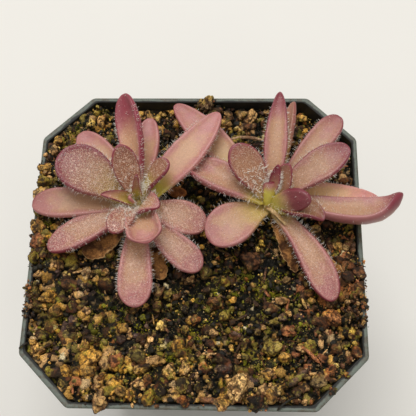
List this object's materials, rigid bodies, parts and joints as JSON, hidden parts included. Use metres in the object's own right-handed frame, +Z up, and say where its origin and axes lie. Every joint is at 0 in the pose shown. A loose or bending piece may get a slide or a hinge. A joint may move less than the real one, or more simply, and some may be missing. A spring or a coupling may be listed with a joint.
{
  "type": "potted butterwort",
  "caption": "Butterwort rosettes of succulent dusty-pink leaves, rooted in a gritty mix in a square plastic nursery pot with cut corners.",
  "frame": {"origin": "on the floor under the middle of the pot's base", "axes": "+Z up out of the pot, -Y towards the viewer of the picture, +X to the right"},
  "size_m": [0.0888, 0.08, 0.0873],
  "materials": {
    "leaf": "fleshy, dusty pink with magenta margins, fine sticky glands",
    "crown": "yellow-green living tissue",
    "dry_leaf": "dry, brown, crinkled",
    "twig": "dry, pale",
    "bark_chip": "rough, orange-brown",
    "mix": "damp grit, peat and moss",
    "pot": "dark green, scuffed at the rim"
  },
  "bodies": {
    "root": {"left_crown": "crown", "right_crown": "crown", "left_leaf_back_pale": "leaf", "left_leaf_back_west": "leaf", "left_leaf_bowl": "leaf", "left_leaf_bud": "leaf", "left_leaf_east": "leaf", "left_leaf_fold_back": "leaf", "left_leaf_fold_east": "leaf", "left_leaf_fold_west": "leaf", "left_leaf_furry": "leaf", "left_leaf_pointer": "leaf", "left_leaf_round": "leaf", "left_leaf_south": "leaf", "left_leaf_south_east": "leaf", "left_leaf_south_west": "leaf", "left_leaf_spade": "leaf", "left_leaf_spoon": "leaf", "left_leaf_tall": "leaf", "left_leaf_west": "leaf", "right_leaf_back_east": "leaf", "right_leaf_back_edge": "leaf", "right_leaf_blade": "leaf", "right_leaf_bud": "leaf", "right_leaf_crest": "leaf", "right_leaf_dark": "leaf", "right_leaf_east": "leaf", "right_leaf_fold_back": "leaf", "right_leaf_fold_east": "leaf", "right_leaf_gutter": "leaf", "right_leaf_hook": "leaf", "right_leaf_horn": "leaf", "right_leaf_long": "leaf", "right_leaf_south_east": "leaf", "right_leaf_south_west": "leaf", "right_leaf_spire": "leaf", "left_dry_south": "dry_leaf", "left_dry_stalk": "dry_leaf", "left_dry_west": "dry_leaf", "right_dry_edge": "dry_leaf", "right_dry_long": "dry_leaf", "right_dry_stalk": "dry_leaf", "twig": "twig", "bark_chip": "bark_chip", "mix": "mix", "pot": "pot"}
  },
  "joints": []
}
